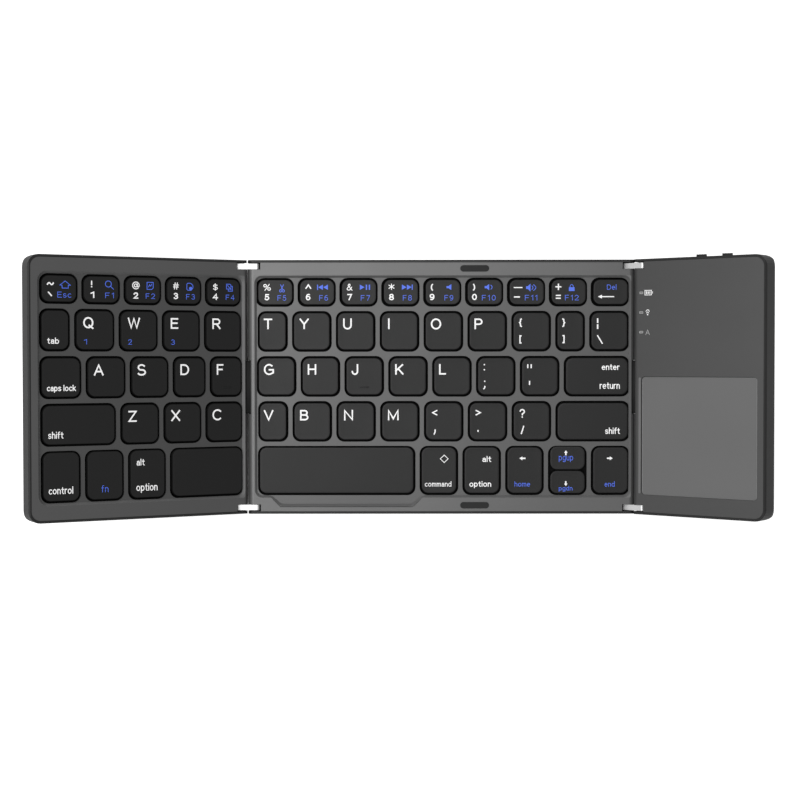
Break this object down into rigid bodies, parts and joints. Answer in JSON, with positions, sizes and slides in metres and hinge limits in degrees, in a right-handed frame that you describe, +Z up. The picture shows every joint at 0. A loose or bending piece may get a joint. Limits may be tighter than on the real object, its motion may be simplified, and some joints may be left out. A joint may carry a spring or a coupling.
{
  "type": "folding keyboard",
  "caption": "Folding pocket keyboard with raised wings on chrome hinge links, sprung keys, a touchpad and slide switches.",
  "frame": {"origin": "on the table under the feet, below the middle of the keyboard's overall box with both wings raised", "axes": "+X runs along the rows of keys to the right, +Y to the rear edge, +Z up from the table"},
  "size_m": [0.2473, 0.0889, 0.0439],
  "materials": {
    "cover_plastic": "fine matte moulding",
    "frame_plastic": "fine matte grey paint",
    "key_plastic": "soft matte black with white and blue legends",
    "plate_steel": "plain rolled sheet",
    "membrane_film": "translucent printed film",
    "dome_rubber": "milky silicone",
    "lift_plastic": "white moulded plastic",
    "foot_rubber": "matte black rubber",
    "sleeve_rubber": "soft black rubber",
    "ribbon_film": "amber flexible circuit",
    "touchpad_film": "satin grey film",
    "board_laminate": "green solder mask",
    "battery_pouch": "silver foil pouch",
    "port_metal": "plated sheet",
    "window_plastic": "frosted light windows",
    "knob_plastic": "black ribbed knob",
    "hinge_chrome": "polished plating"
  },
  "bodies": {
    "centre_panel": {"centre_bottom_cover": "cover_plastic", "centre_top_frame": "frame_plastic", "centre_key_web": "frame_plastic", "centre_base_plate": "plate_steel", "centre_membrane": "membrane_film", "centre_rubber_domes": "dome_rubber", "centre_key_lifts": "lift_plastic", "centre_feet": "foot_rubber", "fold_bumpers": "foot_rubber", "ribbon_cable": "ribbon_film"},
    "left_links": {"left_hinge_links": "hinge_chrome", "left_hinge_pins": "hinge_chrome", "left_cable_sleeve": "sleeve_rubber"},
    "left_wing": {"left_bottom_cover": "cover_plastic", "left_top_frame": "frame_plastic", "left_key_web": "frame_plastic", "left_base_plate": "plate_steel", "left_membrane": "membrane_film", "left_rubber_domes": "dome_rubber", "left_key_lifts": "lift_plastic", "left_feet": "foot_rubber"},
    "right_links": {"right_hinge_links": "hinge_chrome", "right_hinge_pins": "hinge_chrome", "right_cable_sleeve": "sleeve_rubber"},
    "right_wing": {"right_bottom_cover": "cover_plastic", "right_top_cover": "frame_plastic", "touchpad_surface": "touchpad_film", "touchpad_board": "board_laminate", "main_board": "board_laminate", "battery": "battery_pouch", "charging_port": "port_metal", "indicator_lights": "window_plastic", "right_feet": "foot_rubber"},
    "power_switch": {"power_switch_knob": "knob_plastic"},
    "mode_switch": {"mode_switch_knob": "knob_plastic"},
    "tab_key": {"tab_key": "key_plastic"},
    "caps_lock_key": {"caps_lock_key": "key_plastic"},
    "left_shift_key": {"left_shift_key": "key_plastic"},
    "control_key": {"control_key": "key_plastic"},
    "fn_key": {"fn_key": "key_plastic"},
    "left_option_key": {"left_option_key": "key_plastic"},
    "left_space_key": {"left_space_key": "key_plastic"},
    "left_number_keys": {"left_number_keys": "key_plastic"},
    "left_upper_keys": {"left_upper_keys": "key_plastic"},
    "left_home_keys": {"left_home_keys": "key_plastic"},
    "left_lower_keys": {"left_lower_keys": "key_plastic"},
    "backspace_key": {"backspace_key": "key_plastic"},
    "enter_key": {"enter_key": "key_plastic"},
    "right_shift_key": {"right_shift_key": "key_plastic"},
    "right_space_key": {"right_space_key": "key_plastic"},
    "command_key": {"command_key": "key_plastic"},
    "right_option_key": {"right_option_key": "key_plastic"},
    "left_arrow_key": {"left_arrow_key": "key_plastic"},
    "up_arrow_key": {"up_arrow_key": "key_plastic"},
    "down_arrow_key": {"down_arrow_key": "key_plastic"},
    "right_arrow_key": {"right_arrow_key": "key_plastic"},
    "centre_number_keys": {"centre_number_keys": "key_plastic"},
    "centre_upper_keys": {"centre_upper_keys": "key_plastic"},
    "centre_home_keys": {"centre_home_keys": "key_plastic"},
    "centre_lower_keys": {"centre_lower_keys": "key_plastic"}
  },
  "joints": [
    {"name": "left_link_fold", "type": "hinge", "parent": "centre_panel", "child": "left_links", "pos_m": [-0.0509, 0, 0.00595], "axis": [0, 1, 0], "range_deg": [0, 90], "deforming": ["left_cable_sleeve"]},
    {"name": "left_wing_fold", "type": "hinge", "parent": "left_links", "child": "left_wing", "pos_m": [-0.05535, 0, 0.00595], "axis": [0, 1, 0], "range_deg": [-28.8, 61.2], "deforming": ["left_cable_sleeve"]},
    {"name": "right_link_fold", "type": "hinge", "parent": "centre_panel", "child": "right_links", "pos_m": [0.07925, 0, 0.00595], "axis": [0, -1, 0], "range_deg": [-36.7, 53.3], "deforming": ["right_cable_sleeve"]},
    {"name": "right_wing_fold", "type": "hinge", "parent": "right_links", "child": "right_wing", "pos_m": [0.08282, 0, 0.00861], "axis": [0, -1, 0], "range_deg": [0, 90], "deforming": ["right_cable_sleeve"]},
    {"name": "power_switch_slide", "type": "slide", "parent": "right_wing", "child": "power_switch", "axis": [0.8018, 0, 0.5976], "range_m": [0, 0.002]},
    {"name": "mode_switch_slide", "type": "slide", "parent": "right_wing", "child": "mode_switch", "axis": [0.8018, 0, 0.5976], "range_m": [0, 0.002]},
    {"name": "tab_key_press", "type": "slide", "parent": "left_wing", "child": "tab_key", "axis": [-0.4818, 0, -0.8763], "range_m": [0, 0.0012], "stiffness_N_per_m": 450, "springref_m": -0.0005, "deforming": ["left_rubber_domes", "left_key_lifts"]},
    {"name": "caps_lock_key_press", "type": "slide", "parent": "left_wing", "child": "caps_lock_key", "axis": [-0.4818, 0, -0.8763], "range_m": [0, 0.0012], "stiffness_N_per_m": 450, "springref_m": -0.0005, "deforming": ["left_rubber_domes", "left_key_lifts"]},
    {"name": "left_shift_key_press", "type": "slide", "parent": "left_wing", "child": "left_shift_key", "axis": [-0.4818, 0, -0.8763], "range_m": [0, 0.0012], "stiffness_N_per_m": 450, "springref_m": -0.0005, "deforming": ["left_rubber_domes", "left_key_lifts"]},
    {"name": "control_key_press", "type": "slide", "parent": "left_wing", "child": "control_key", "axis": [-0.4818, 0, -0.8763], "range_m": [0, 0.0012], "stiffness_N_per_m": 450, "springref_m": -0.0005, "deforming": ["left_rubber_domes", "left_key_lifts"]},
    {"name": "fn_key_press", "type": "slide", "parent": "left_wing", "child": "fn_key", "axis": [-0.4818, 0, -0.8763], "range_m": [0, 0.0012], "stiffness_N_per_m": 450, "springref_m": -0.0005, "deforming": ["left_rubber_domes", "left_key_lifts"]},
    {"name": "left_option_key_press", "type": "slide", "parent": "left_wing", "child": "left_option_key", "axis": [-0.4818, 0, -0.8763], "range_m": [0, 0.0012], "stiffness_N_per_m": 450, "springref_m": -0.0005, "deforming": ["left_rubber_domes", "left_key_lifts"]},
    {"name": "left_space_key_press", "type": "slide", "parent": "left_wing", "child": "left_space_key", "axis": [-0.4818, 0, -0.8763], "range_m": [0, 0.0012], "stiffness_N_per_m": 450, "springref_m": -0.0005, "deforming": ["left_rubber_domes", "left_key_lifts"]},
    {"name": "left_number_keys_press", "type": "slide", "parent": "left_wing", "child": "left_number_keys", "axis": [-0.4818, 0, -0.8763], "range_m": [0, 0.0012], "stiffness_N_per_m": 450, "springref_m": -0.0005, "deforming": ["left_rubber_domes", "left_key_lifts"]},
    {"name": "left_upper_keys_press", "type": "slide", "parent": "left_wing", "child": "left_upper_keys", "axis": [-0.4818, 0, -0.8763], "range_m": [0, 0.0012], "stiffness_N_per_m": 450, "springref_m": -0.0005, "deforming": ["left_rubber_domes", "left_key_lifts"]},
    {"name": "left_home_keys_press", "type": "slide", "parent": "left_wing", "child": "left_home_keys", "axis": [-0.4818, 0, -0.8763], "range_m": [0, 0.0012], "stiffness_N_per_m": 450, "springref_m": -0.0005, "deforming": ["left_rubber_domes", "left_key_lifts"]},
    {"name": "left_lower_keys_press", "type": "slide", "parent": "left_wing", "child": "left_lower_keys", "axis": [-0.4818, 0, -0.8763], "range_m": [0, 0.0012], "stiffness_N_per_m": 450, "springref_m": -0.0005, "deforming": ["left_rubber_domes", "left_key_lifts"]},
    {"name": "backspace_key_press", "type": "slide", "parent": "centre_panel", "child": "backspace_key", "axis": [0, 0, -1], "range_m": [0, 0.0012], "stiffness_N_per_m": 450, "springref_m": -0.0005, "deforming": ["centre_rubber_domes", "centre_key_lifts"]},
    {"name": "enter_key_press", "type": "slide", "parent": "centre_panel", "child": "enter_key", "axis": [0, 0, -1], "range_m": [0, 0.0012], "stiffness_N_per_m": 450, "springref_m": -0.0005, "deforming": ["centre_rubber_domes", "centre_key_lifts"]},
    {"name": "right_shift_key_press", "type": "slide", "parent": "centre_panel", "child": "right_shift_key", "axis": [0, 0, -1], "range_m": [0, 0.0012], "stiffness_N_per_m": 450, "springref_m": -0.0005, "deforming": ["centre_rubber_domes", "centre_key_lifts"]},
    {"name": "right_space_key_press", "type": "slide", "parent": "centre_panel", "child": "right_space_key", "axis": [0, 0, -1], "range_m": [0, 0.0012], "stiffness_N_per_m": 450, "springref_m": -0.0005, "deforming": ["centre_rubber_domes", "centre_key_lifts"]},
    {"name": "command_key_press", "type": "slide", "parent": "centre_panel", "child": "command_key", "axis": [0, 0, -1], "range_m": [0, 0.0012], "stiffness_N_per_m": 450, "springref_m": -0.0005, "deforming": ["centre_rubber_domes", "centre_key_lifts"]},
    {"name": "right_option_key_press", "type": "slide", "parent": "centre_panel", "child": "right_option_key", "axis": [0, 0, -1], "range_m": [0, 0.0012], "stiffness_N_per_m": 450, "springref_m": -0.0005, "deforming": ["centre_rubber_domes", "centre_key_lifts"]},
    {"name": "left_arrow_key_press", "type": "slide", "parent": "centre_panel", "child": "left_arrow_key", "axis": [0, 0, -1], "range_m": [0, 0.0012], "stiffness_N_per_m": 450, "springref_m": -0.0005, "deforming": ["centre_rubber_domes", "centre_key_lifts"]},
    {"name": "up_arrow_key_press", "type": "slide", "parent": "centre_panel", "child": "up_arrow_key", "axis": [0, 0, -1], "range_m": [0, 0.0012], "stiffness_N_per_m": 450, "springref_m": -0.0005, "deforming": ["centre_rubber_domes", "centre_key_lifts"]},
    {"name": "down_arrow_key_press", "type": "slide", "parent": "centre_panel", "child": "down_arrow_key", "axis": [0, 0, -1], "range_m": [0, 0.0012], "stiffness_N_per_m": 450, "springref_m": -0.0005, "deforming": ["centre_rubber_domes", "centre_key_lifts"]},
    {"name": "right_arrow_key_press", "type": "slide", "parent": "centre_panel", "child": "right_arrow_key", "axis": [0, 0, -1], "range_m": [0, 0.0012], "stiffness_N_per_m": 450, "springref_m": -0.0005, "deforming": ["centre_rubber_domes", "centre_key_lifts"]},
    {"name": "centre_number_keys_press", "type": "slide", "parent": "centre_panel", "child": "centre_number_keys", "axis": [0, 0, -1], "range_m": [0, 0.0012], "stiffness_N_per_m": 450, "springref_m": -0.0005, "deforming": ["centre_rubber_domes", "centre_key_lifts"]},
    {"name": "centre_upper_keys_press", "type": "slide", "parent": "centre_panel", "child": "centre_upper_keys", "axis": [0, 0, -1], "range_m": [0, 0.0012], "stiffness_N_per_m": 450, "springref_m": -0.0005, "deforming": ["centre_rubber_domes", "centre_key_lifts"]},
    {"name": "centre_home_keys_press", "type": "slide", "parent": "centre_panel", "child": "centre_home_keys", "axis": [0, 0, -1], "range_m": [0, 0.0012], "stiffness_N_per_m": 450, "springref_m": -0.0005, "deforming": ["centre_rubber_domes", "centre_key_lifts"]},
    {"name": "centre_lower_keys_press", "type": "slide", "parent": "centre_panel", "child": "centre_lower_keys", "axis": [0, 0, -1], "range_m": [0, 0.0012], "stiffness_N_per_m": 450, "springref_m": -0.0005, "deforming": ["centre_rubber_domes", "centre_key_lifts"]}
  ]
}
